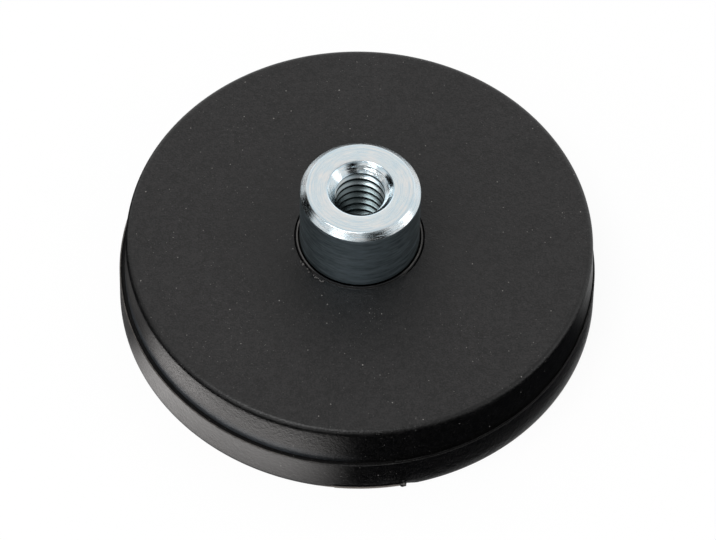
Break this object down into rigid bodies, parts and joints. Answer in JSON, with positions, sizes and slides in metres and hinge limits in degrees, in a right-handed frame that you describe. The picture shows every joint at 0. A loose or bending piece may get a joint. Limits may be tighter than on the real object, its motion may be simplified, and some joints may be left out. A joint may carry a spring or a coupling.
{
  "type": "pot magnet",
  "caption": "Flat round rubber-coated pot magnet with a stepped side and a raised cylindrical metal bush, internally threaded, for screwing things to a steel surface.",
  "frame": {"origin": "on the flat magnetic holding face, where the bush's axis meets it", "axes": "+Z along the bush's axis, from the holding face up towards the bush's mouth; -Y towards the scar of the moulding gate"},
  "size_m": [0.0321, 0.0322, 0.0115],
  "materials": {
    "rubber": "moulded matt black rubber with a fine dusty bloom",
    "zinc_plated_steel": "turned steel, bright zinc plated, slightly blue",
    "nickel_plated_magnet": "sintered magnet, nickel plated"
  },
  "bodies": {
    "root": {"rubber_jacket": "rubber", "threaded_bush": "zinc_plated_steel", "yoke_plate": "zinc_plated_steel", "magnet_1": "nickel_plated_magnet", "magnet_2": "nickel_plated_magnet", "magnet_3": "nickel_plated_magnet", "magnet_4": "nickel_plated_magnet"}
  },
  "joints": []
}
